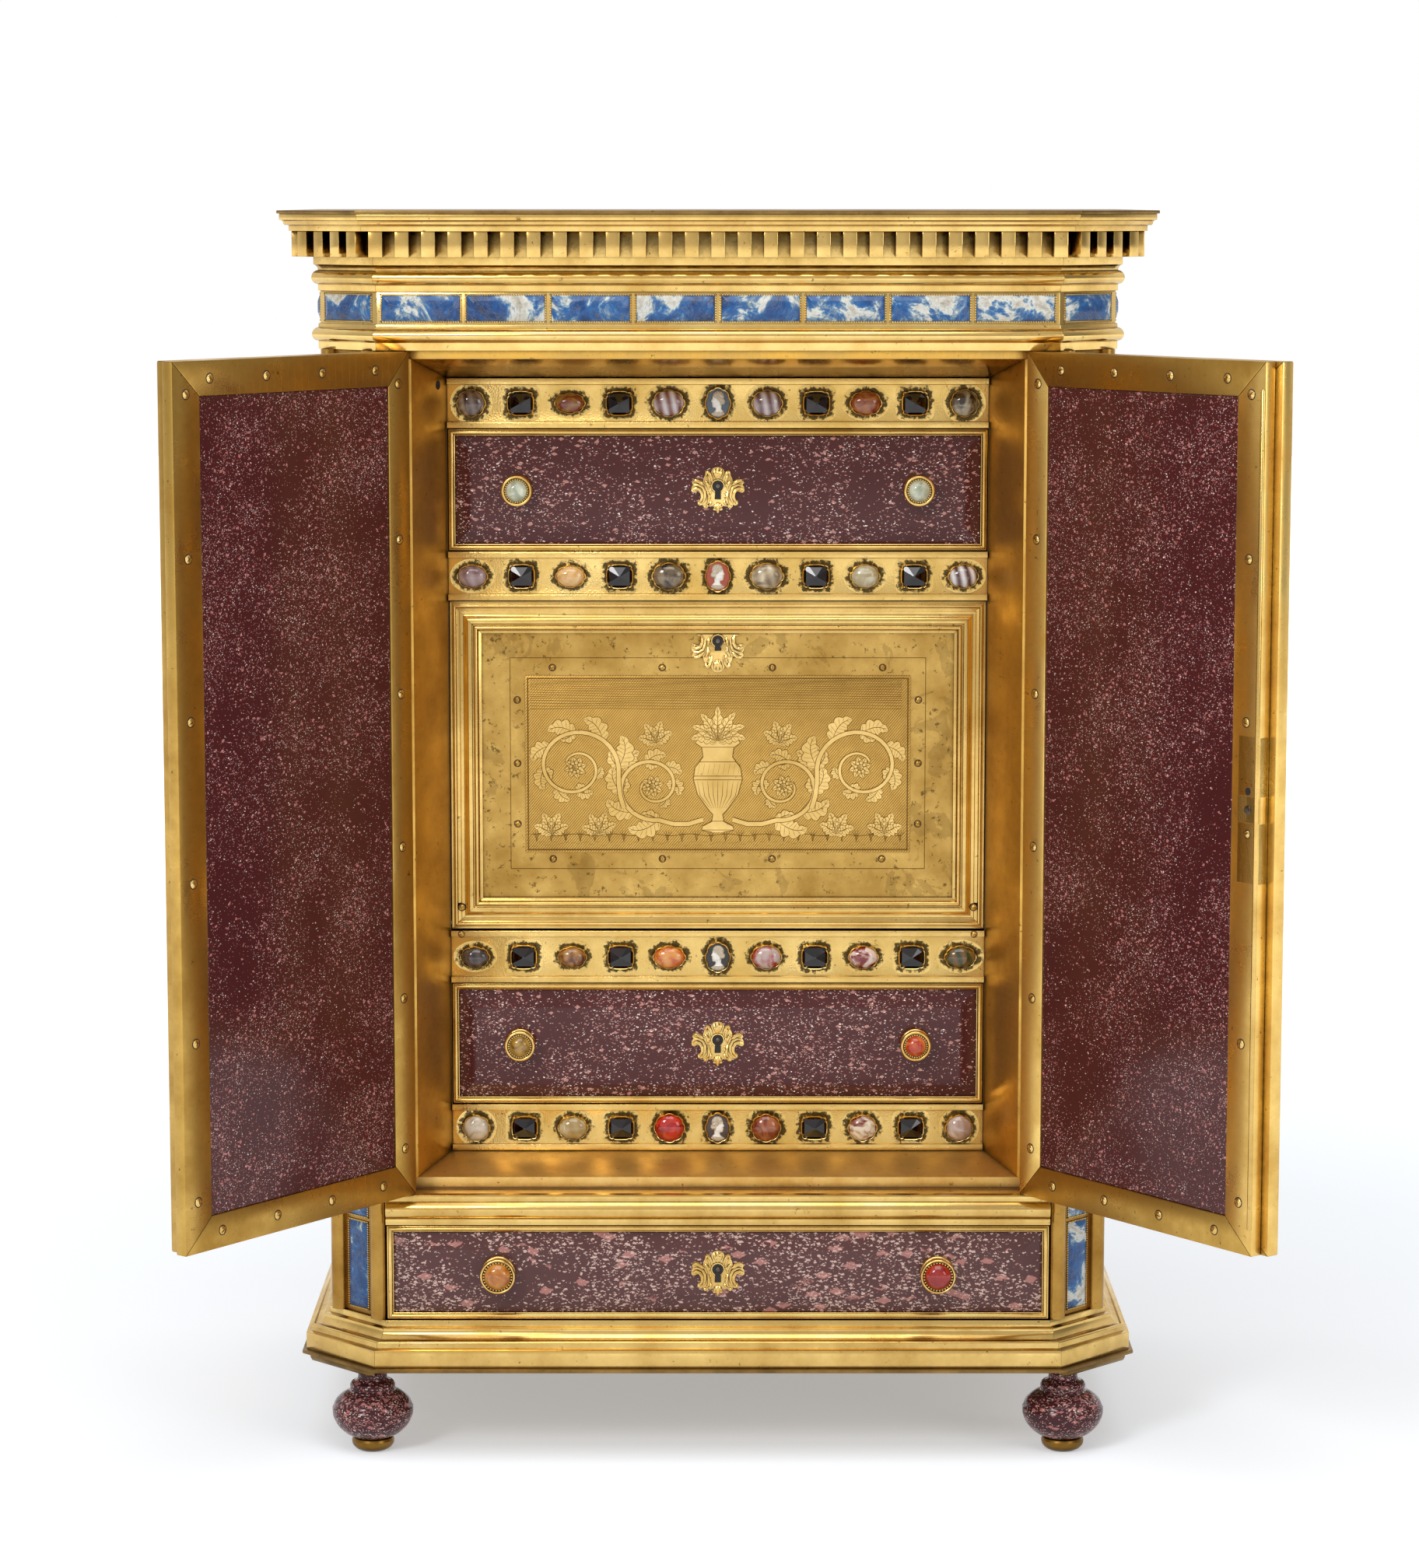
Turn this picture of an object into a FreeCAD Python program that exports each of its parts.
import FreeCAD, Part
import Sketcher
import math
import os
import re

# A table cabinet for a collector: a gilt case set with stone, with two doors, three drawers and a fall front.
# The case is modelled with its front plane at y = 0 and its doors shut. Each piece is then put where it
# stands with the doors open, and the origin is the middle of the floor that the cabinet covers.
# Lengths are millimetres. X runs to the right, Y runs back from the front and Z runs up from the floor.

VECTOR = FreeCAD.Vector

# The driving sizes, by the piece that they belong to.
SIZES = {
    # Plan of the case.
    "half_front": 156.0, "cant": 28.0, "depth": 236.0, "skin": 5.0, "board": 10.0, "corner_cut": 2.0,
    # Clearance round drawers and leaves, round doors, and between a shut door and its stop.
    "running": 0.5, "door_gap": 0.4, "door_back_gap": 0.8, "meeting_gap": 1.0,
    # Feet, from the floor up.
    "foot_high": 44.0, "foot_side": 164.0, "foot_inset": 14.0, "bulb_radius": 19.2, "bulb_mid": 20.0,
    "pad_high": 6.5, "pad_radius": 10.0, "ring_radius": 10.5, "ring_low": 29.7, "neck_radius": 6.9,
    "neck_high": 3.8, "flange_high": 3.6,
    # Plinth mouldings, from the plate under the case up, and how far each stands out.
    "plate_high": 1.8, "fascia_high": 8.9, "step_high": 2.4, "hollow_high": 5.0, "plinth_top_high": 4.1,
    "plate_out": 14.0, "fascia_out": 12.0, "step_out": 9.5, "hollow_out": 3.6, "plinth_top_out": 1.0,
    "core_inset": 6.0,
    # Zones of the front.
    "base_zone": 45.9, "waist_high": 14.3, "door_zone": 394.4,
    # The moulding between the base drawer and the doors.
    "waist_fillet": 3.0, "waist_out": 1.2, "waist_deep": 14.0,
    # Entablature and cornice, from the door zone up.
    "architrave_high": 3.6, "lower_torus": 6.4, "frieze_fillet": 1.8, "frieze_high": 15.0,
    "bed_fillet": 2.9, "upper_torus": 6.5, "cove_high": 2.6, "corona_high": 3.6, "dentil_high": 11.8,
    "crown_fillet": 2.4, "cyma_high": 2.6, "crown_fascia": 2.9, "top_plate": 1.5,
    "architrave_out": 1.0, "corona_out": 3.0, "drum_out": 5.0, "dentil_deep": 7.9,
    "crown_out": 13.8, "crown_fascia_out": 18.0, "top_out": 19.2,
    "dentil_wide": 6.35, "dentil_pitch": 11.95, "cant_dentil_pitch": 11.5,
    # Lapis plaques of the frieze and of the canted corners.
    "plaque_pitch": 38.8, "plaque_wide": 36.6, "plaque_tall": 12.4, "plaque_bevel": 3.6, "plaque_proud": 1.9,
    "plaque_edge": 0.4, "cant_plaque_wide": 33.0,
    "strip_wide": 13.2, "strip_gap": 3.0, "strip_bevel": 2.4, "strip_proud": 1.0, "strip_place": 19.5,
    "cant_bead": 4.3, "inner_bead_place": 5.5, "outer_bead_place": 33.8,
    # The splayed reveal between the doors and the drawers.
    "reveal_wide": 29.0, "opening_low": 11.2, "opening_high": 14.4, "reveal_deep": 31.2,
    "stop_side": 14.5, "stop_low": 4.9, "stop_high": 4.4,
    # Rails set with stones, and the openings between them.
    "rail_1": 23.3, "rail_2": 23.0, "rail_3": 25.0, "rail_4": 22.4, "rail_deep": 14.0,
    "rail_fillet": 2.9, "rail_fillet_out": 1.2, "upper_slot": 58.1, "lower_slot": 59.2, "shelf": 6.0,
    # Settings and stones on the rails, as half widths and half heights.
    "gem_end": 11.5, "collet_deep": 3.2, "agate_wide": 7.9, "agate_tall": 6.15, "gem_ledge": 0.8,
    "dome_deep": 2.8, "cameo_wide": 6.3, "cameo_tall": 7.7, "cameo_deep": 1.4, "head_deep": 0.8,
    "garnet_wide": 6.3, "garnet_tall": 5.6, "garnet_deep": 2.6, "garnet_bevel": 3.4,
    # Drawers.
    "rim_wide": 3.0, "front_deep": 6.0, "stone_set": 1.6, "stone_bevel": 8.6, "stone_proud": 2.2,
    "front_board": 7.0, "box_board": 6.0, "box_bottom": 4.0, "inner_drawer_back": 76.0,
    "base_drawer_back": 32.0, "side_drop": 2.5,
    "knob_radius": 7.3, "knob_place": 94.3, "base_knob_radius": 8.2, "base_knob_place": 103.2,
    # Locks and keyhole plates.
    "lock_wide": 30.0, "lock_tall": 27.0, "lock_deep": 5.6, "bolt_wide": 13.0, "bolt_thick": 2.8,
    "bolt_tall": 9.0, "bolt_room": 0.2, "bolt_low": 0.3, "bolt_inset": 1.6, "mortise_deep": 6.0,
    "mortise_room": 0.6,
    "keyplate_wide": 12.6, "keyplate_tall": 11.0, "fall_keyplate_tall": 9.4, "keyplate_thick": 1.2,
    "keyhole_radius": 2.3, "keyhole_half": 1.2, "keyhole_drop": 7.0,
    # Fall front.
    "leaf_inset": 1.0, "leaf_deep": 8.0, "leaf_gap": 0.9, "moulding_wide": 15.0, "moulding_edge": 1.2,
    "moulding_flat": 5.0, "moulding_rise": 11.0, "moulding_low": 1.0, "moulding_high": 3.4,
    "hinge_inset": 2.5, "scene_margin": 20.3, "scene_tall": 84.4, "scene_low": 36.7, "scene_thick": 0.8,
    "leaf_pin": 1.2, "leaf_pin_long": 5.0, "pin_fit": 0.08, "keyplate_place": 24.9,
    # Doors.
    "pivot_inset": 4.0, "heel_radius": 3.2, "leaf_face": 2.5, "leaf_mid": 9.0,
    "door_back": 15.0, "door_rail": 15.5, "hanging_stile": 14.3, "meeting_stile": 17.0, "lap": 3.6,
    "door_bevel": 5.0, "door_stone_set": 0.8, "door_stone_proud": 2.0,
    "door_pin": 1.6, "door_pin_long": 5.5,
    "door_lock_tall": 65.0, "door_lock_low": 166.4, "door_lock_wide": 13.0, "door_lock_deep": 5.4,
    "door_bolt_tall": 11.0, "door_bolt_low": 27.2, "door_bolt_long": 8.0, "door_bolt_inset": 2.0,
    # Panels of the sides.
    "base_frame": 12.0, "side_frame": 16.0, "side_bevel": 6.0, "side_set": 1.0, "side_proud": 2.2,
    # How far cutting and trimming shapes run past what they cut.
    "overrun": 40.0,
}

# The angle in degrees that the open doors stand at.
ANGLES = {"open_angle": 127.2}

# Shares of a chord, of a radius or of a thickness.
SHARES = {
    "half_round_share": 0.46, "torus_share": 0.27, "swell_share": 0.18,
    "belly_share": 0.86, "belly_rise_share": 0.41, "brow_share": 0.89, "shoulder_share": 0.66,
    "pad_foot_share": 0.66, "pad_waist_share": 0.62,
    "knob_base_share": 0.35, "knob_neck_share": 0.55, "knob_lip_share": 0.77, "knob_cup_share": 1.1,
    "knob_stone_share": 0.77, "knob_front_share": 1.45, "bead_brow_share": 0.82, "bead_crown_share": 0.35,
}

# Levels of a cut stone or a setting: the share of its outline, and the share of its height.
COLLET_SHARES = ((1.0, 0.0), (0.9, 1.0))
DOME_SHARES = ((1.0, 0.0), (0.66, 1.0))

# Outline of a keyhole plate and of a cameo bust, as shares of the half width and half height.
KEYPLATE_SHARES = ((-0.42, -0.82), (0.0, -1.0), (0.42, -0.82), (0.72, -0.56), (0.9, -0.34), (1.0, 0.0),
                   (0.9, 0.34), (0.72, 0.56), (0.42, 0.82), (0.0, 1.0), (-0.42, 0.82), (-0.72, 0.56),
                   (-0.9, 0.34), (-1.0, 0.0), (-0.9, -0.34), (-0.72, -0.56))
BUST_SHARES = ((-0.55, -0.62), (0.5, -0.66), (0.28, -0.3), (0.2, -0.12), (0.42, 0.1), (0.46, 0.42),
               (0.2, 0.68), (-0.2, 0.7), (-0.42, 0.48), (-0.4, 0.3), (-0.5, 0.12), (-0.4, 0.02),
               (-0.38, -0.14), (-0.12, -0.24))

CANT_DENTILS = 4
DOOR_STRIPS = 3
GEM_KINDS = "agate garnet agate garnet agate cameo agate garnet agate garnet agate".split()
NAMED = {**SIZES, **ANGLES, **SHARES}

doc = FreeCAD.newDocument("collector_cabinet")
sheet = doc.addObject("Spreadsheet::Sheet", "Sizes")
for row, (alias, size) in enumerate(NAMED.items(), 1):
    sheet.set(f"A{row}", alias)
    sheet.set(f"B{row}", str(size))
    sheet.setAlias(f"B{row}", alias)
doc.recompute()

pieces = {}


def cell(match):
    """The sheet's own name for a size, or any other word as it stands."""
    return f"Sizes.{match.group()}" if match.group() in NAMED else match.group()


def bound(text):
    """Write each named size in an expression as a cell of the sheet."""
    return re.sub(r"[a-z][a-z_0-9]*", cell, str(text))


def number(text):
    """The value of an expression in named sizes."""
    return float(sheet.evalExpression(bound(text)))


def tie(thing, places):
    """Bind properties of an object to expressions in named sizes."""
    for path, text in places.items():
        thing.setExpression(path, bound(text))
    return thing


def stand(thing, at, turn=None):
    """Put an object at a place given in named sizes, with a fixed turn."""
    base = VECTOR(*[number(text) for text in at])
    thing.Placement = FreeCAD.Placement(base, turn or FreeCAD.Rotation())
    return tie(thing, {f"Placement.Base.{axis}": text for axis, text in zip("xyz", at) if text != "0"})


# Turns that lay a sketch flat, on the front, on a side, or as a section of a moulding.
RIGHT, LEFT = VECTOR(1, 0, 0), VECTOR(-1, 0, 0)
BACK, FRONT = VECTOR(0, 1, 0), VECTOR(0, -1, 0)
UP = VECTOR(0, 0, 1)
FLAT = FreeCAD.Rotation()
FACING = FreeCAD.Rotation(RIGHT, UP, FRONT, "XYZ")
ACROSS = FreeCAD.Rotation(BACK, UP, RIGHT, "XYZ")
SECTION = FreeCAD.Rotation(FRONT, UP, LEFT, "XYZ")
CANT_TURN = FreeCAD.Rotation(UP, -45)
SIDE_TURN = FreeCAD.Rotation(UP, -90)
BACK_TURN = FreeCAD.Rotation(UP, 180)
TOWARD_FRONT = FreeCAD.Rotation(RIGHT, 90)
TOWARD_RIGHT = FreeCAD.Rotation(BACK, 90)


def new(kind, label):
    """A document object with a plain label."""
    thing = doc.addObject(kind, label.replace(" ", "_"))
    thing.Label = label
    return thing


def draw(sketch, points):
    """Draw a closed outline. A point is (across, up), or (across, up, share) where an arc arrives at it.

    The share is the arc's rise over its chord. A positive one swells out of an outline that runs
    anticlockwise.
    """
    spots = [VECTOR(number(point[0]), number(point[1]), 0) for point in points]
    count = len(points)
    curves = []
    for index, spot in enumerate(spots):
        after = (index + 1) % count
        far = spots[after]
        if len(points[after]) == 3:
            rise = number(points[after][2])
            middle = (spot + far) / 2 + VECTOR(far.y - spot.y, spot.x - far.x, 0) * rise
            curves.append(Part.Arc(spot, middle, far) if rise > 0 else Part.Arc(far, middle, spot))
        else:
            curves.append(Part.LineSegment(spot, far))
    sketch.addGeometry(curves, False)
    starts = []
    for index, spot in enumerate(spots):
        drawn = sketch.Geometry[index]
        forward = drawn.StartPoint.distanceToPoint(spot) <= drawn.EndPoint.distanceToPoint(spot)
        starts.append((1, 2) if forward else (2, 1))
    rules, texts = [], []
    for index in range(count):
        after = (index + 1) % count
        rules.append(Sketcher.Constraint("Coincident", index, starts[index][1], after, starts[after][0]))
        texts.append(None)
    for index, point in enumerate(points):
        for kind, text, place in (("DistanceX", point[0], spots[index].x),
                                  ("DistanceY", point[1], spots[index].y)):
            rules.append(Sketcher.Constraint(kind, -1, 1, index, starts[index][0], place))
            texts.append(text)
        if len(point) == 3:
            before = (index - 1) % count
            across_text, up_text = points[before][0], points[before][1]
            chord = f"sqrt((({point[0]}) - ({across_text}))^2 + (({point[1]}) - ({up_text}))^2)"
            share = f"abs({point[2]})"
            rules.append(Sketcher.Constraint("Radius", before, sketch.Geometry[before].Radius))
            texts.append(f"{chord} * (1 / (8 * {share}) + {share} / 2)")
    made = sketch.addConstraint(rules)
    for rule, text in zip(made, texts):
        if text is not None:
            sketch.setExpression(f"Constraints[{rule}]", bound(text))
    return sketch


def outline(label, points, at=("0", "0", "0"), turn=FLAT):
    """A closed sketch laid at a place."""
    return stand(draw(new("Sketcher::SketchObject", label), points), at, turn)


def extrude(label, base, length):
    """A solid pushed out of a closed sketch along its own normal."""
    solid = new("Part::Extrusion", label)
    solid.Base, solid.DirMode, solid.Solid = base, "Normal", True
    return tie(solid, {"LengthFwd": length})


def upright(label, points, low, high):
    """A prism with its outline in plan, from one height to another."""
    return extrude(label, outline(label + " plan", points, ("0", "0", low)), f"({high}) - ({low})")


def facing(label, points, front, back):
    """A prism with its outline seen from the front, between two depths."""
    drawn = outline(label + " face", points, ("0", back, "0"), FACING)
    return extrude(label, drawn, f"({back}) - ({front})")


def across(label, points, left, right):
    """A prism with its outline seen from the right, between two places across the case."""
    drawn = outline(label + " end", points, (left, "0", "0"), ACROSS)
    return extrude(label, drawn, f"({right}) - ({left})")


def block(label, left, right, front, back, low, high):
    """A rectangular piece between six named places."""
    box = new("Part::Box", label)
    tie(box, {"Length": f"({right}) - ({left})", "Width": f"({back}) - ({front})",
              "Height": f"({high}) - ({low})"})
    return stand(box, (left, front, low))


def rod(label, radius, length, at, turn=FLAT):
    """A round bar that starts at a place and runs along the turned upright."""
    bar = new("Part::Cylinder", label)
    tie(bar, {"Radius": radius, "Height": length})
    return stand(bar, at, turn)


def fused(label, solids):
    """Several shapes that are one casting or one board."""
    if len(solids) == 1:
        return solids[0]
    whole = new("Part::MultiFuse", label)
    whole.Shapes = solids
    return whole


def cut(label, base, tools):
    """A solid with other shapes taken out of it."""
    whole = new("Part::Cut", label)
    whole.Base, whole.Tool = base, fused(label + " cutters", tools)
    return whole


def common(label, base, keep):
    """The part of a solid inside another."""
    whole = new("Part::Common", label)
    whole.Base, whole.Tool = base, keep
    return whole


def mirrored(source):
    """The same solid on the other side of the case."""
    other = new("Part::Mirroring", source.Label + " right")
    other.Source, other.Base, other.Normal = source, VECTOR(0, 0, 0), RIGHT
    return other


def both(solids):
    """Solids of the left side with their mirror images."""
    return solids + [mirrored(solid) for solid in solids]


def copied(label, source, at):
    """One more of a solid, at another place."""
    other = new("Part::Compound", label)
    other.Links = [source]
    return stand(other, at)


def turned(label, steps, at, turn=FLAT):
    """A turned form with twelve narrow flats, built up through steps of (radius, height).

    Each level is what three square tapers, turned against each other, have in common.
    """
    levels = []
    for order, ((radius, low), (next_radius, high)) in enumerate(zip(steps, steps[1:]), 1):
        half, next_half = f"cos(15) * ({radius})", f"cos(15) * ({next_radius})"
        tapers = []
        for place in range(3):
            taper = new("Part::Wedge", f"{label} level {order} taper {place + 1}")
            tie(taper, {"Ymax": high, "Xmax": half, "Zmax": half, "X2max": next_half, "Z2max": next_half,
                        "Ymin": low, "Xmin": f"-{half}", "Zmin": f"-{half}", "X2min": f"-{next_half}",
                        "Z2min": f"-{next_half}"})
            taper.Placement.Rotation = FreeCAD.Rotation(UP, 15 + 30 * place).multiply(TOWARD_FRONT)
            tapers.append(taper)
        level = new("Part::MultiCommon", f"{label} level {order}")
        level.Shapes = tapers
        levels.append(level)
    return stand(fused(label, levels), at, turn)


def bevelled(label, half_wide, half_tall, thick, rise, bevel, at, turn=FLAT):
    """A slab with a bevelled margin round a raised flat. Its place is the middle of the bevel's foot."""
    slab = block(label + " slab", f"-({half_wide})", half_wide, "0", thick, f"-({half_tall})", half_tall)
    field = new("Part::Wedge", label + " field")
    tie(field, {"Ymin": f"-({rise})", "Xmin": f"-({half_wide}) + ({bevel})",
                "Xmax": f"({half_wide}) - ({bevel})", "Zmin": f"-({half_tall}) + ({bevel})",
                "Zmax": f"({half_tall}) - ({bevel})", "X2min": f"-({half_wide})", "X2max": half_wide,
                "Z2min": f"-({half_tall})", "Z2max": half_tall})
    field.Ymax = 0
    return stand(fused(label, [slab, field]), at, turn)


def mitred(label, left, right, low, high, wide, near, far, push=facing):
    """Four flat strips round a rectangle, mitred at its corners.

    `wide` gives the widths of the left, right, lower and upper strips.
    """
    left_in, right_in = f"({left}) + ({wide[0]})", f"({right}) - ({wide[1]})"
    low_in, high_in = f"({low}) + ({wide[2]})", f"({high}) - ({wide[3]})"
    corners = {"left": [(left, low), (left_in, low_in), (left_in, high_in), (left, high)],
               "right": [(right, low), (right, high), (right_in, high_in), (right_in, low_in)],
               "lower": [(left, low), (right, low), (right_in, low_in), (left_in, low_in)],
               "upper": [(left, high), (left_in, high_in), (right_in, high_in), (right, high)]}
    return [push(f"{label} {side} strip", points, near, far) for side, points in corners.items()]


# Heights up the case.
plinth_low = "(foot_high + plate_high)"
base_low = f"({plinth_low} + fascia_high + step_high + hollow_high + plinth_top_high)"
waist_low = f"({base_low} + base_zone)"
door_low = f"({waist_low} + waist_high)"
door_high = f"({door_low} + door_zone)"
torus_low = f"({door_high} + architrave_high)"
frieze_low = f"({torus_low} + lower_torus + frieze_fillet)"
frieze_top = f"({frieze_low} + frieze_high)"
drum_low = f"({frieze_top} + bed_fillet + upper_torus + cove_high + corona_high)"
crown_low = f"({drum_low} + dentil_high)"
crown_high = f"({crown_low} + crown_fillet + cyma_high + crown_fascia)"
top = f"({crown_high} + top_plate)"

# Places across and into the case.
half_side = "(half_front + cant)"
opening_half = "(half_front - reveal_wide)"
skin_in = f"({half_side} - skin)"
wall_in = f"({skin_in} - board)"
case_back = "(depth - board)"
mitre = "(sqrt(2) - 1)"
diagonal = "sqrt(0.5)"
reveal_front = "(door_back + door_back_gap)"
face = f"({reveal_front} + reveal_deep)"
behind_rails = f"({face} + rail_deep)"

# The rails and the openings between them.
rail_1_high = f"({door_high} - opening_high)"
rail_1_low = f"({rail_1_high} - rail_1)"
upper_low = f"({rail_1_low} - upper_slot)"
rail_2_low = f"({upper_low} - rail_2)"
rail_4_low = f"({door_low} + opening_low)"
lower_low = f"({rail_4_low} + rail_4)"
rail_3_low = f"({lower_low} + lower_slot)"
fall_slot_low = f"({rail_3_low} + rail_3)"

# The fall front.
leaf_half = f"({opening_half} - running)"
scene_half = f"({leaf_half} - moulding_wide - scene_margin)"
leaf_front = f"({face} + leaf_inset)"
leaf_back = f"({leaf_front} + leaf_deep)"
leaf_low = f"({fall_slot_low} + leaf_gap)"
leaf_high = f"({rail_2_low} - running)"
leaf_pin_y = f"({face} + hinge_inset)"
leaf_pin_z = f"({leaf_low} + hinge_inset)"

# The front faces of the bolts that slide up.
drawer_bolt_y = f"({face} + front_deep + bolt_inset)"
base_bolt_y = "(front_deep + bolt_inset)"
fall_bolt_y = f"({leaf_front} + leaf_deep / 2 - bolt_thick / 2)"
rails = {"first": (rail_1_low, rail_1_high, drawer_bolt_y), "second": (rail_2_low, upper_low, fall_bolt_y),
         "third": (rail_3_low, fall_slot_low, drawer_bolt_y), "fourth": (rail_4_low, lower_low, None)}

# The doors, shut.
pivot_x = "(half_front - pivot_inset)"
leaf_bottom = f"({door_low} + door_gap)"
leaf_top = f"({door_high} - door_gap)"

# The open doors reach forward of the case, and the origin is midway between them and the back.
forward_reach = (f"({pivot_x} * sin(open_angle)"
                 " - (door_back - pivot_inset) * cos(open_angle) - pivot_inset)")
shift = f"((depth - {forward_reach}) / 2)"


def piece(node, solids, carried_by="case"):
    """One named sub-part, put where its body stands with the doors open."""
    whole = new("Part::Compound", node)
    whole.Links = solids
    pieces[node] = whole
    if carried_by == "case":
        return tie(whole, {"Placement.Base.y": f"-{shift}"})
    sense = -1 if carried_by == "left door" else 1
    hinge = f"({sense} * {pivot_x})"
    sine, cosine = f"({sense} * sin(open_angle))", "cos(open_angle)"
    whole.Placement = FreeCAD.Placement(VECTOR(), FreeCAD.Rotation(UP * sense, number("open_angle")))
    return tie(whole, {
        "Placement.Rotation.Angle": "open_angle",
        "Placement.Base.x": f"{hinge} - {hinge} * {cosine} + pivot_inset * {sine}",
        "Placement.Base.y": f"pivot_inset - {hinge} * {sine} - pivot_inset * {cosine} - {shift}"})


# Slices of the plan, for mouldings that run round the front, the canted corner and the side.
corner_out = (f"-half_front - {mitre} * overrun", "-overrun")
corner_in = (f"-half_front + {mitre} * overrun", "overrun")
flank_out = (f"-{half_side} - overrun", f"cant - {mitre} * overrun")
flank_in = (f"-{half_side} + overrun", f"cant + {mitre} * overrun")
front_slice = upright("front slice", [
    corner_in, corner_out, (f"half_front + {mitre} * overrun", "-overrun"),
    (f"half_front - {mitre} * overrun", "overrun")], "0", top)
cant_slice = upright("cant slice", [corner_in, flank_in, flank_out, corner_out], "0", top)
side_slice = upright("side slice", [
    flank_in, (f"-{half_side} + overrun", "depth"), (f"-{half_side} - overrun", "depth"), flank_out],
    "0", top)


def runs(label, points):
    """A moulding round the case in five mitred lengths, from one profile of (out, up) points."""
    straight = extrude(label + " front bar", outline(
        label + " front section", points, ("half_front + overrun", "0", "0"), SECTION),
        "2 * (half_front + overrun)")
    canted = extrude(label + " cant bar", outline(
        label + " cant section", points,
        (f"overrun * {diagonal} - half_front", f"-overrun * {diagonal}", "0"),
        CANT_TURN.multiply(SECTION)), "cant * sqrt(2) + 2 * overrun")
    flank = extrude(label + " side bar", outline(
        label + " side section", points, (f"-{half_side}", "cant - overrun", "0"),
        SIDE_TURN.multiply(SECTION)), "depth - cant + overrun")
    return [common(label + " front", straight, front_slice)] + both([
        common(label + " cant", canted, cant_slice), common(label + " side", flank, side_slice)])


def plan(out):
    """The plan of the case, moved out by a distance everywhere but at the back."""
    corner, end = f"half_front + {mitre} * ({out})", f"{half_side} + ({out})"
    turn_y = f"cant - {mitre} * ({out})"
    return [(f"-({corner})", f"-({out})"), (corner, f"-({out})"), (end, turn_y), (end, "depth"),
            (f"-({end})", "depth"), (f"-({end})", turn_y)]


def on_cant(along, out):
    """A place on the left canted face, by the distance from its front edge and the distance out of it."""
    return (f"-half_front - ({along}) * {diagonal} - ({out}) * {diagonal}",
            f"({along}) * {diagonal} - ({out}) * {diagonal}")


# Four turned stone feet with gilt pads under them.
neck_low = "ring_low + flange_high"
foot_steps = [
    ("pad_radius", "pad_high"),
    ("bulb_radius * belly_share", "pad_high + (bulb_mid - pad_high) * belly_rise_share"),
    ("bulb_radius", "bulb_mid"), ("bulb_radius * brow_share", "(bulb_mid + ring_low) / 2"),
    ("bulb_radius * shoulder_share", "ring_low - flange_high / 4"), ("ring_radius", "ring_low"),
    ("ring_radius", neck_low), ("neck_radius", f"{neck_low} + neck_high / 4"),
    ("neck_radius", f"{neck_low} + neck_high"), ("ring_radius", "foot_high - flange_high"),
    ("ring_radius", "foot_high")]
pad_steps = [("pad_radius * pad_foot_share", "0"), ("pad_radius", "pad_high / 2"),
             ("pad_radius * pad_waist_share", "pad_high")]
foot_places = {"front": "foot_inset", "back": "depth - bulb_radius - door_gap"}
for node, steps in (("foot_stones", foot_steps), ("foot_pads", pad_steps)):
    form = turned(f"{node} form", steps, ("0", "0", "0"))
    piece(node, both([copied(f"{node} {end}", form, ("-foot_side", place, "0"))
                      for end, place in foot_places.items()]))

# The plate under the case, the plinth mouldings and the wooden floor within them.
piece("bottom_plate", [upright("bottom plate slab", plan("plate_out"), "foot_high", plinth_low)])
step_z = f"{plinth_low} + fascia_high"
hollow_z = f"{step_z} + step_high"
fillet_z = f"{hollow_z} + hollow_high"
piece("plinth_mouldings", runs("plinth", [
    ("-core_inset", plinth_low), ("fascia_out", plinth_low), ("fascia_out", step_z), ("step_out", step_z),
    ("step_out", hollow_z), ("hollow_out", fillet_z, "-swell_share"), ("plinth_top_out", fillet_z),
    ("plinth_top_out", base_low), ("-core_inset", base_low)]))
piece("base_board", [upright("base board slab", plan("-core_inset"), plinth_low, base_low)])

# Wooden walls, deck, cheeks and shelves.
wall = block("side wall", f"-{skin_in}", f"-{wall_in}", "cant", "depth", base_low, door_high)
guide = block("base guide", f"-{wall_in}", "-half_front", "cant", case_back, base_low, waist_low)
piece("carcass_sides", both([wall, guide]))
piece("back_panel", [block("back board", f"-{wall_in}", wall_in, case_back, "depth", base_low, door_high)])
deck = block("deck", f"-{wall_in}", wall_in, "cant", case_back, waist_low, door_low)
tongue = block("deck tongue", "-half_front", "half_front", "waist_deep", "cant", waist_low, door_low)
piece("waist_board", [fused("deck with tongue", [deck, tongue])])
piece("inner_cheeks", both([block(
    "cheek", f"-{opening_half} - board", f"-{opening_half}", face, case_back, door_low, door_high)]))
shelf_places = {"upper drawer shelf": (f"{upper_low} - shelf", upper_low),
                "compartment ceiling": (rail_2_low, f"{rail_2_low} + shelf"),
                "compartment floor": (f"{fall_slot_low} - shelf", fall_slot_low),
                "lower drawer shelf": (f"{lower_low} - shelf", lower_low)}
piece("shelves", [block(name, f"-{opening_half}", opening_half, behind_rails, case_back, low, high)
                  for name, (low, high) in shelf_places.items()])
piece("top_core", [upright("top core block", plan("-core_inset"), door_high, crown_high)])

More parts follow.
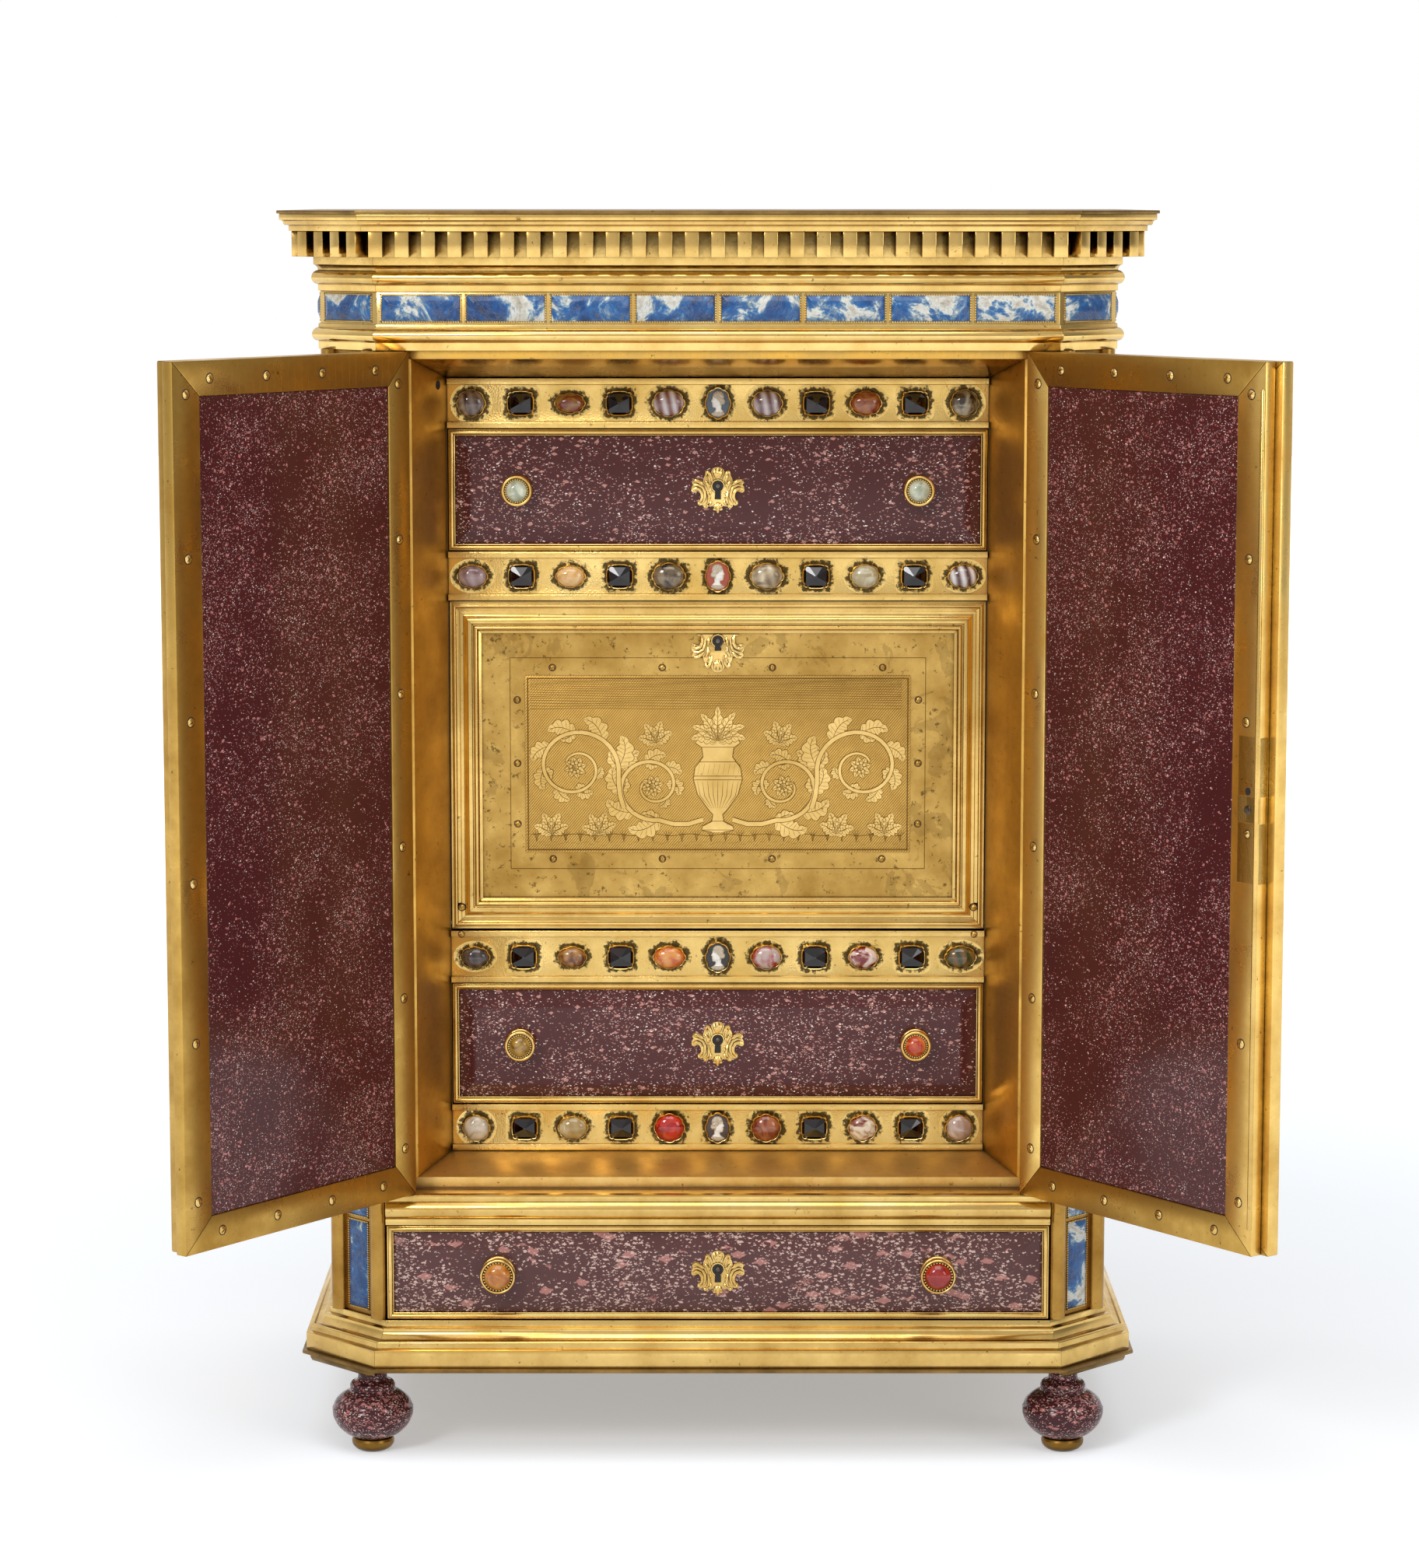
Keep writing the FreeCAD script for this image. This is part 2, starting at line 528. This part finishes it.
# Gilt frames and bevelled stone panels of the sides.
side_frames, side_stones = [], []
for name, low, high, wide in (("base side", base_low, door_low, "base_frame"),
                              ("upper side", door_low, door_high, "side_frame")):
    side_frames += mitred(name, "cant", "depth", low, high, [wide] * 4, f"-{half_side}", f"-{skin_in}",
                          across)
    side_stones.append(bevelled(
        name + " stone", f"(depth - cant) / 2 - {wide}", f"(({high}) - ({low})) / 2 - {wide}",
        "skin - side_set", "side_proud", "side_bevel",
        (f"-{half_side} + side_set", "(depth + cant) / 2", f"(({high}) + ({low})) / 2"), SIDE_TURN))
piece("side_frames", both(side_frames))
piece("side_stones", both(side_stones))

# Canted corner posts with two half-round beads.
post = upright("post", [
    ("-half_front", "corner_cut"), ("-half_front", reveal_front), (f"-{skin_in} + board / 2", "cant"),
    (f"-{half_side}", "cant"), ("-half_front - corner_cut / 2", "corner_cut / 2")], base_low, door_high)
beads = []
for name, along in (("inner bead", "inner_bead_place"), ("outer bead", "outer_bead_place")):
    bead_x, bead_y = on_cant(along, "0")
    beads.append(rod(name, "cant_bead", f"{door_high} - {base_low}", (bead_x, bead_y, base_low)))
trims = [
    block("post side trim", f"-{half_side} - overrun", "-half_front", "cant", "cant + overrun",
          base_low, door_high),
    block("post inner trim", "-half_front", "0", "-overrun", "overrun", base_low, door_high),
    block("post outer trim", f"-{half_side} - overrun", f"-{half_side}", "0", "overrun",
          base_low, door_high)]
piece("corner_posts", both([cut("trimmed post", fused("post with beads", [post] + beads), trims)]))

# Lapis plaques along the frieze, and lapis strips between the beads of the canted corners.
frieze_mid = f"{frieze_low} + frieze_high / 2"


# Plaques that fit the frieze, and dentils that fit the drum, which is longer than the frieze by its mitres.
frieze_plaques = int(number("2 * half_front / plaque_pitch"))
side_plaques = int(number("(depth - cant) / plaque_pitch"))
front_dentils_each_way = int(number("half_front / dentil_pitch"))
side_dentils = 1 + int(number(f"(depth - cant + drum_out * {mitre} - dentil_wide) / dentil_pitch"))


def plaque(label, half_wide, at, turn):
    """One frieze plaque on its bed."""
    return bevelled(label, half_wide, "plaque_tall / 2", "plaque_edge", "plaque_proud", "plaque_bevel",
                    at, turn)


plaques = []
for index in range(frieze_plaques):
    place = f"plaque_pitch * {index - (frieze_plaques - 1) / 2}"
    plaques.append(plaque(f"front plaque {index + 1}", "plaque_wide / 2",
                          (place, "-plaque_edge", frieze_mid), FLAT))
left_plaques = [plaque("cant plaque", "cant_plaque_wide / 2",
                       on_cant(f"cant * {diagonal}", "plaque_edge") + (frieze_mid,), CANT_TURN)]
for index in range(side_plaques):
    place = f"cant + (depth - cant) * {(index + 0.5) / side_plaques}"
    left_plaques.append(plaque(f"side plaque {index + 1}", "plaque_wide / 2",
                               (f"-{half_side} - plaque_edge", place, frieze_mid), SIDE_TURN))
strips_low = f"({waist_low} + strip_gap / 2)"
strip_pitch = f"(({door_high} - {strips_low}) / {DOOR_STRIPS})"
strip_zones = [("base strip", f"({base_low} + strip_gap)", f"({waist_low} - strip_gap / 2)")]
for index in range(DOOR_STRIPS):
    strip_zones.append((f"door strip {index + 1}", f"({strips_low} + {strip_pitch} * {index})",
                        f"({strips_low} + {strip_pitch} * {index + 1} - strip_gap)"))
for name, low, high in strip_zones:
    left_plaques.append(bevelled(
        name, "strip_wide / 2", f"({high} - {low}) / 2", "plaque_edge", "strip_proud", "strip_bevel",
        on_cant("strip_place", "plaque_edge") + (f"({high} + {low}) / 2",), CANT_TURN))
piece("lapis_plaques", plaques + both(left_plaques))


def mortise(label, low, bolt_y):
    """The pocket over a bolt that it slides up into."""
    return block(label, "-bolt_wide / 2 - mortise_room", "bolt_wide / 2 + mortise_room",
                 f"{bolt_y} - mortise_room", f"{bolt_y} + bolt_thick + mortise_room",
                 low, f"{low} + mortise_deep")


# The moulding over the base drawer, with the mortise of its bolt.
waist_bar = across("waist bar", [
    ("waist_deep", waist_low), ("waist_deep", door_low), ("-waist_out", door_low),
    ("-waist_out", f"{door_low} - waist_fillet"), ("-waist_out", f"{waist_low} + waist_fillet", "torus_share"),
    ("-waist_out", waist_low)], "-half_front", "half_front")
piece("waist_moulding", [cut("waist bar with mortise", waist_bar,
                             [mortise("waist mortise", waist_low, base_bolt_y)])])

# The splayed reveal.
sill = across("reveal sill", [
    (reveal_front, door_low), (face, door_low), (face, f"{door_low} + opening_low"),
    (reveal_front, f"{door_low} + stop_low")], "-half_front", "half_front")
head = across("reveal head", [
    (reveal_front, door_high), (reveal_front, f"{door_high} - stop_high"),
    (face, f"{door_high} - opening_high"), (face, door_high)], "-half_front", "half_front")
jamb = upright("reveal jamb", [
    ("-half_front", reveal_front), ("-half_front + stop_side", reveal_front), (f"-{opening_half}", face),
    ("-half_front", face)], door_low, door_high)
piece("reveal", [sill, head] + both([cut("mitred jamb", jamb, [sill, head])]))

# Four gilt rails, the first three with a mortise in the underside.
gem_rails = []
for name, (low, high, bolt_y) in rails.items():
    proud = f"{face} - rail_fillet_out"
    bar = across(f"{name} rail bar", [
        (behind_rails, low), (behind_rails, high), (proud, high), (proud, f"{high} - rail_fillet"),
        (face, f"{high} - rail_fillet"), (face, f"{low} + rail_fillet"), (proud, f"{low} + rail_fillet"),
        (proud, low)], f"-{opening_half}", opening_half)
    if bolt_y:
        bar = cut(f"{name} rail", bar, [mortise(f"{name} rail mortise", low, bolt_y)])
    gem_rails.append(bar)
piece("gem_rails", gem_rails)


def faceted(label, half_wide, half_tall, deep, level_shares, sides=8):
    """An oval stone or setting with flat facets, facing the front from its back at y = 0."""
    rings = []
    for order, (share, level) in enumerate(level_shares, 1):
        angles = [360 * index / sides for index in range(sides)]
        points = [(f"{share} * ({half_wide}) * cos({angle})", f"{share} * ({half_tall}) * sin({angle})")
                  for angle in angles]
        rings.append(outline(f"{label} ring {order}", points, ("0", f"0 - ({deep}) * {level}", "0"), FACING))
    whole = new("Part::Loft", label)
    whole.Sections, whole.Solid, whole.Ruled = rings, True, True
    return whole


# Collets on the rails, and what is set in them.
collet_masters = {
    "agate": faceted("oval collet", "agate_wide", "agate_tall", "collet_deep", COLLET_SHARES),
    "garnet": faceted("garnet collet", "garnet_wide", "garnet_tall", "collet_deep", COLLET_SHARES),
    "cameo": faceted("cameo collet", "cameo_wide", "cameo_tall", "collet_deep", COLLET_SHARES)}
garnet = new("Part::Wedge", "table cut stone")
tie(garnet, {"Ymin": "-garnet_deep",
             "Xmin": "garnet_bevel + gem_ledge - garnet_wide", "Xmax": "garnet_wide - garnet_bevel - gem_ledge",
             "Zmin": "garnet_bevel + gem_ledge - garnet_tall", "Zmax": "garnet_tall - garnet_bevel - gem_ledge",
             "X2min": "2 * gem_ledge - garnet_wide", "X2max": "garnet_wide - 2 * gem_ledge",
             "Z2min": "2 * gem_ledge - garnet_tall", "Z2max": "garnet_tall - 2 * gem_ledge"})
garnet.Ymax = 0
cameo_slab = faceted("cameo oval", "cameo_wide - gem_ledge", "cameo_tall - gem_ledge", "cameo_deep",
                     COLLET_SHARES)
cameo_head = facing("cameo head", [(f"cameo_wide * {x}", f"cameo_tall * {z}") for x, z in BUST_SHARES],
                    "-cameo_deep - head_deep", "-cameo_deep")
stone_masters = {
    "agate": faceted("oval cabochon", "agate_wide - gem_ledge", "agate_tall - gem_ledge", "dome_deep",
                     DOME_SHARES),
    "garnet": garnet, "cameo": fused("oval with head", [cameo_slab, cameo_head])}
collets = []
stones = {"agate": [], "garnet": [], "cameo": []}
for name, (low, high, _) in rails.items():
    for index, kind in enumerate(GEM_KINDS):
        place = f"({opening_half} - gem_end) * {2 * index / (len(GEM_KINDS) - 1) - 1}"
        middle = f"({low} + {high}) / 2"
        collets.append(copied(f"{name} rail collet {index + 1}", collet_masters[kind],
                              (place, face, middle)))
        stones[kind].append(copied(f"{name} rail {kind} {index + 1}", stone_masters[kind],
                                   (place, f"{face} - collet_deep", middle)))
piece("collets", collets)
for kind, made in stones.items():
    piece(f"{kind}s", made)

# Entablature, cornice with its dentils, and crown.
piece("entablature", runs("entablature", [
    ("-core_inset", door_high), ("architrave_out", door_high), ("architrave_out", torus_low),
    ("architrave_out", f"{torus_low} + lower_torus", "half_round_share"), ("architrave_out", frieze_low),
    ("0", frieze_low), ("0", frieze_top), ("-core_inset", frieze_top)]))
bed_z = f"{frieze_top} + bed_fillet"
cove_z = f"{bed_z} + upper_torus"
corona_z = f"{cove_z} + cove_high"
cornice = runs("cornice", [
    ("-core_inset", frieze_top), ("architrave_out", frieze_top), ("architrave_out", bed_z),
    ("architrave_out", cove_z, "half_round_share"), ("corona_out", corona_z, "-swell_share"),
    ("corona_out", drum_low), ("drum_out", drum_low), ("drum_out", crown_low),
    ("-core_inset", crown_low)])


def dentil(label, at, turn):
    """One block of the dentil course."""
    made = new("Part::Box", label)
    tie(made, {"Length": "dentil_wide", "Width": "dentil_deep", "Height": "dentil_high"})
    return stand(made, at, turn)


front_dentils, left_dentils = [], []
for index in range(-front_dentils_each_way, front_dentils_each_way + 1):
    place = f"dentil_pitch * {index} - dentil_wide / 2"
    front_dentils.append(dentil(f"front dentil {index + front_dentils_each_way + 1}",
                                (place, "-drum_out - dentil_deep", drum_low), FLAT))
for index in range(CANT_DENTILS):
    along = f"cant * {diagonal} - cant_dentil_pitch * {index - (CANT_DENTILS - 1) / 2} + dentil_wide / 2"
    left_dentils.append(dentil(f"cant dentil {index + 1}",
                               on_cant(along, "drum_out + dentil_deep") + (drum_low,), CANT_TURN))
for index in range(side_dentils):
    left_dentils.append(dentil(
        f"side dentil {index + 1}",
        (f"-{half_side} - drum_out - dentil_deep", f"depth - dentil_pitch * {index}", drum_low), SIDE_TURN))
piece("dentil_cornice", cornice + front_dentils + both(left_dentils))
cyma_z = f"{crown_low} + crown_fillet"
crown = runs("crown moulding", [
    ("-core_inset", crown_low), ("crown_out", crown_low), ("crown_out", cyma_z),
    ("crown_fascia_out", f"{cyma_z} + cyma_high", "-swell_share"), ("crown_fascia_out", crown_high),
    ("-core_inset", crown_high)])
piece("crown", crown + [upright("top plate slab", plan("top_out"), crown_high, top)])

# Pivot pins of the doors and of the fall front.
door_pin_steps = [("door_pin", "0"), ("door_pin", "door_pin_long")]
leaf_pin_steps = [("leaf_pin", "0"), ("leaf_pin", "leaf_pin_long")]
piece("pivot_pins", both([
    turned("lower door pin", door_pin_steps, (f"-{pivot_x}", "pivot_inset", door_low)),
    turned("upper door pin", door_pin_steps,
           (f"-{pivot_x}", "pivot_inset", f"{door_high} - door_pin_long")),
    turned("fall pin", leaf_pin_steps, (f"-{opening_half}", leaf_pin_y, leaf_pin_z), TOWARD_RIGHT)]))


def keyplate(label, half_tall, middle, back):
    """A shaped plate round a keyhole, on the surface at a depth."""
    points = [(f"keyplate_wide * {x}", f"({middle}) + {half_tall} * {z}") for x, z in KEYPLATE_SHARES]
    plate = facing(label + " plate", points, f"{back} - keyplate_thick", back)
    eye_z = f"{middle} + keyhole_radius"
    eye = turned(label + " eye", [("keyhole_radius", "0"), ("keyhole_radius", "overrun")],
                 ("0", f"{back} + overrun / 2", eye_z), TOWARD_FRONT)
    slot = block(label + " slot", "-keyhole_half", "keyhole_half", f"{back} - overrun / 2",
                 f"{back} + overrun / 2", f"{eye_z} - keyhole_drop", eye_z)
    return cut(label, plate, [eye, slot])


def lock(label, high, bolt_y):
    """A lock case flush with the edge at `high`, the pocket that it stands in, and its bolt.

    `bolt_y` is the front of the bolt, whose room in the case is open upward.
    """
    sides = ("-lock_wide / 2", "lock_wide / 2", f"{bolt_y} - bolt_thick / 2")
    back = f"{bolt_y} - bolt_thick / 2 + lock_deep"
    case = block(label + " case block", *sides, back, f"{high} - lock_tall", high)
    pocket = block(label + " pocket", *sides, f"{back} + overrun", f"{high} - lock_tall",
                   f"{high} + overrun")
    room = block(label + " bolt room", "-bolt_wide / 2 - bolt_room", "bolt_wide / 2 + bolt_room",
                 f"{bolt_y} - bolt_room", f"{bolt_y} + bolt_thick + bolt_room",
                 f"{high} - bolt_low - bolt_tall - bolt_room", f"{high} + overrun")
    bolt = block(label + " bolt block", "-bolt_wide / 2", "bolt_wide / 2", bolt_y, f"{bolt_y} + bolt_thick",
                 f"{high} - bolt_low - bolt_tall", f"{high} - bolt_low")
    return cut(label + " case", case, [room]), pocket, bolt


def drawer(tag, half_wide, slot_low, slot_high, front, deep, knob_radius, knob_place):
    """A drawer with gilt rim, bevelled stone, wooden box, two knobs, lock and bolt."""
    low, high = f"({slot_low} + running)", f"({slot_high} - running)"
    middle, half_tall = f"(({low} + {high}) / 2)", f"(({high} - {low}) / 2)"
    wood = f"({front} + front_deep)"
    inside = f"({wood} + front_board)"
    end = f"({inside} + {deep})"
    side_high = f"({high} - side_drop)"
    piece(f"{tag}_drawer_rim", mitred(f"{tag} rim", f"-{half_wide}", half_wide, low, high,
                                      ["rim_wide"] * 4, front, wood))
    piece(f"{tag}_drawer_stone", [bevelled(
        f"{tag} drawer slab", f"{half_wide} - rim_wide", f"{half_tall} - rim_wide", "front_deep - stone_set",
        "stone_proud", "stone_bevel", ("0", f"{front} + stone_set", middle))])
    case, pocket, bolt = lock(f"{tag} lock", high, f"({wood} + bolt_inset)")
    board = block(f"{tag} front board whole", f"-{half_wide}", half_wide, wood, inside, low, high)
    piece(f"{tag}_drawer_box", [
        cut(f"{tag} front board", board, [pocket]),
        block(f"{tag} left board", f"-{half_wide}", f"-{half_wide} + box_board", inside, end, low, side_high),
        block(f"{tag} right board", f"{half_wide} - box_board", half_wide, inside, end, low, side_high),
        block(f"{tag} back board", f"-{half_wide} + box_board", f"{half_wide} - box_board",
              f"{end} - box_board", end, low, side_high),
        block(f"{tag} bottom board", f"-{half_wide} + box_board", f"{half_wide} - box_board", inside,
              f"{end} - box_board", low, f"{low} + box_bottom")])
    table = f"({front} + stone_set - stone_proud)"
    piece(f"{tag}_drawer_lock", [case, keyplate(f"{tag} keyplate", "keyplate_tall", middle, table)])
    piece(f"{tag}_drawer_bolt", [bolt])
    neck, stone = f"{knob_radius} * knob_neck_share", f"{knob_radius} * knob_stone_share"
    seat, cup = f"{knob_radius} * knob_base_share", f"{knob_radius} * knob_cup_share"
    at = (f"-{knob_place}", table, middle)
    tip = f"{knob_radius} * knob_front_share"
    knob = turned(f"{tag} knob", [
        (knob_radius, "0"), (knob_radius, f"{seat} / 2"), (neck, seat),
        (knob_radius, f"{knob_radius} * knob_lip_share"), (knob_radius, cup)], at, TOWARD_FRONT)
    bead = turned(f"{tag} knob bead", [
        (stone, cup), (f"{stone} * bead_brow_share", f"({cup} + {tip}) / 2"),
        (f"{stone} * bead_crown_share", tip)], at, TOWARD_FRONT)
    piece(f"{tag}_drawer_knobs", both([knob]))
    piece(f"{tag}_drawer_knob_stones", both([bead]))


inner_deep = "(depth - inner_drawer_back)"
drawer("upper", leaf_half, upper_low, rail_1_low, face, inner_deep, "knob_radius", "knob_place")
drawer("lower", leaf_half, lower_low, rail_3_low, face, inner_deep, "knob_radius", "knob_place")
drawer("base", "(half_front - running)", base_low, waist_low, "0", "(depth - base_drawer_back)",
       "base_knob_radius", "base_knob_place")

# The fall front: a leaf on two pins, with a mitred moulding, an engraved plate, lock and bolt.
fall_case, fall_pocket, fall_bolt = lock("fall lock", leaf_high, fall_bolt_y)
bore = rod("fall pin bore", "leaf_pin + pin_fit", "leaf_pin_long + running + overrun",
           (f"-{opening_half} - overrun", leaf_pin_y, leaf_pin_z), TOWARD_RIGHT)
leaf = block("fall leaf block", f"-{leaf_half}", leaf_half, leaf_front, leaf_back, leaf_low, leaf_high)
leaf = cut("fall leaf board", leaf, [bore, mirrored(bore), fall_pocket])
section = [("0", "0"), ("moulding_edge", "moulding_low"), ("moulding_flat", "moulding_low"),
           ("moulding_rise", "moulding_high"), ("moulding_wide", "moulding_high"), ("moulding_wide", "0")]
mitres = mitred("fall moulding mitre", f"-{leaf_half}", leaf_half, leaf_low, leaf_high,
                ["moulding_wide"] * 4, f"{leaf_front} - overrun", leaf_front)
side_bar = upright("fall side moulding bar", [
    (f"-{leaf_half} + {wide}", f"{leaf_front} - {out}") for wide, out in section], leaf_low, leaf_high)
lower_bar = across("fall lower moulding bar", [
    (f"{leaf_front} - {out}", f"{leaf_low} + {wide}") for wide, out in section],
    f"-{leaf_half}", leaf_half)
upper_bar = across("fall upper moulding bar", [
    (f"{leaf_front} - {out}", f"{leaf_high} - {wide}") for wide, out in section],
    f"-{leaf_half}", leaf_half)
piece("fall_leaf", [leaf] + both([common("fall side moulding", side_bar, mitres[0])]) + [
    common("fall lower moulding", lower_bar, mitres[2]), common("fall upper moulding", upper_bar, mitres[3])])
piece("fall_plate", [block("engraved plate", f"-{scene_half}", scene_half, f"{leaf_front} - scene_thick",
                           leaf_front, f"{leaf_low} + scene_low", f"{leaf_low} + scene_low + scene_tall")])
fall_keyplate = keyplate("fall keyplate", "fall_keyplate_tall", f"({leaf_high} - keyplate_place)", leaf_front)
piece("fall_lock", [fall_case, fall_keyplate])
piece("fall_bolt", [fall_bolt])

# The doors, drawn shut. Each has an outer and an inner layer of mitred strips with a stone in each.
heel_edge = f"({pivot_x} + heel_radius)"
heel_end = f"({pivot_x} - heel_radius - door_gap)"
window_edge = f"({heel_edge} - hanging_stile)"
window_low, window_high = f"({leaf_bottom} + door_rail)", f"({leaf_top} - door_rail)"


def door(tag, free_inner, free_outer):
    """One door, drawn on the left, with the places of the free edges of its inner and outer layer."""
    window_free = f"({free_inner} + meeting_stile)"
    outer = mitred(f"{tag} outer", f"-{heel_end}", f"-{free_outer}", leaf_bottom, leaf_top,
                   [f"{heel_end} - {window_edge}", f"{window_free} - {free_outer}", "door_rail", "door_rail"],
                   "leaf_face", "leaf_mid")
    inner = mitred(f"{tag} inner", f"-{heel_edge}", f"-{free_inner}", leaf_bottom, leaf_top,
                   ["hanging_stile", "meeting_stile", "door_rail", "door_rail"], "leaf_mid", "door_back")
    bores = [rod(f"{tag} {name} bore", "door_pin + pin_fit", "door_pin_long + door_gap",
                 (f"-{pivot_x}", "pivot_inset", low))
             for name, low in (("lower", door_low), ("upper", f"{door_high} - door_pin_long - door_gap"))]
    heel = fused(f"{tag} heel", [
        rod(f"{tag} heel round", "heel_radius", f"{leaf_top} - {leaf_bottom}",
            (f"-{pivot_x}", "pivot_inset", leaf_bottom)),
        block(f"{tag} heel flat", f"-{heel_edge}", f"-{heel_end}", "pivot_inset", "leaf_mid", leaf_bottom,
              leaf_top)])
    heel = cut(f"{tag} heel bar", heel, bores)
    half_wide = f"(({window_edge} - {window_free}) / 2)"
    half_tall = f"(({window_high} - {window_low}) / 2)"
    middle_x, middle_z = f"-({window_edge} + {window_free}) / 2", f"({window_high} + {window_low}) / 2"
    inner_stone = bevelled(f"{tag} inner slab", half_wide, half_tall, "door_back - door_stone_set - leaf_mid",
                           "door_stone_proud", "door_bevel",
                           (middle_x, "door_back - door_stone_set", middle_z), BACK_TURN)
    outer_stone = bevelled(f"{tag} outer slab", half_wide, half_tall,
                           "leaf_mid - leaf_face - door_stone_set", "door_stone_proud", "door_bevel",
                           (middle_x, "leaf_face + door_stone_set", middle_z))
    return outer, inner, heel, inner_stone, outer_stone


lock_low = f"({door_low} + door_lock_low)"
lock_front = "(door_back - door_lock_deep)"
door_bolt_z = f"({lock_low} + door_bolt_low)"
door_bolt_y = "(leaf_mid + door_bolt_inset)"

# Left door, with the mortise of the door bolt in the inner layer of its meeting stile.
left_free = "(meeting_gap / 2 + door_gap / 4)"
outer, inner, heel, inner_stone, outer_stone = door("left door", left_free, f"({left_free} + lap)")
strike = block("strike mortise", f"-{left_free} - mortise_deep", "overrun",
               f"{door_bolt_y} - door_gap", f"{door_bolt_y} + bolt_thick + door_gap",
               f"{door_bolt_z} - door_gap", f"{door_bolt_z} + door_bolt_tall + door_gap")
inner[1] = cut("left meeting stile", inner[1], [strike])
piece("left_door_frame", outer + inner + [heel], "left door")
piece("left_door_inner_stone", [inner_stone], "left door")
piece("left_door_outer_stone", [outer_stone], "left door")

# Right door, drawn on the left and then mirrored. Its outer layer laps over the left door, and a lock case
# is let into the inner layer.
right_free = f"(meeting_gap - {left_free})"
lap_edge = f"({left_free} + lap - door_gap)"
outer, inner, heel, inner_stone, outer_stone = door("right door", right_free, f"(0 - {lap_edge})")
relief = block("lap relief", f"-{right_free}", "overrun", "leaf_mid - door_gap", "leaf_mid",
               leaf_bottom, leaf_top)
outer[1] = cut("lapped stile", outer[1], [relief])
lock_end = f"-{right_free} - door_lock_wide"
recess = block("door lock recess", lock_end, "overrun", lock_front, "overrun", lock_low,
               f"{lock_low} + door_lock_tall")
inner[1] = cut("right meeting stile inner", inner[1], [recess])
case = block("door lock block", lock_end, f"-{right_free}", lock_front, "door_back", lock_low,
             f"{lock_low} + door_lock_tall")
bolt_tip = f"-{right_free} - bolt_low"
room = block("door bolt room", f"{bolt_tip} - door_bolt_long - bolt_room", "overrun",
             f"{door_bolt_y} - bolt_room", f"{door_bolt_y} + bolt_thick + bolt_room",
             f"{door_bolt_z} - bolt_room", f"{door_bolt_z} + door_bolt_tall + bolt_room")
bolt = block("door bolt block", f"{bolt_tip} - door_bolt_long", bolt_tip, door_bolt_y,
             f"{door_bolt_y} + bolt_thick", door_bolt_z, f"{door_bolt_z} + door_bolt_tall")
piece("right_door_frame", [mirrored(solid) for solid in outer + inner + [heel]], "right door")
piece("right_door_inner_stone", [mirrored(inner_stone)], "right door")
piece("right_door_outer_stone", [mirrored(outer_stone)], "right door")
piece("right_door_lock", [mirrored(cut("door lock case", case, [room]))], "right door")
piece("door_bolt", [mirrored(bolt)], "right door")

doc.recompute()

faulty = [thing.Label for thing in doc.Objects if {"Invalid", "Error"} & set(thing.State)]
empty = [node for node, whole in pieces.items() if whole.Shape.isNull() or not whole.Shape.isValid()]
if faulty or empty:
    raise RuntimeError(f"faulty objects {faulty[:12]}, empty or broken pieces {empty[:12]}")
os.makedirs("parts", exist_ok=True)
for node, whole in pieces.items():
    whole.Shape.exportStep(f"parts/{node}.step")
print(len(pieces), "pieces,", len(doc.Objects), "objects")
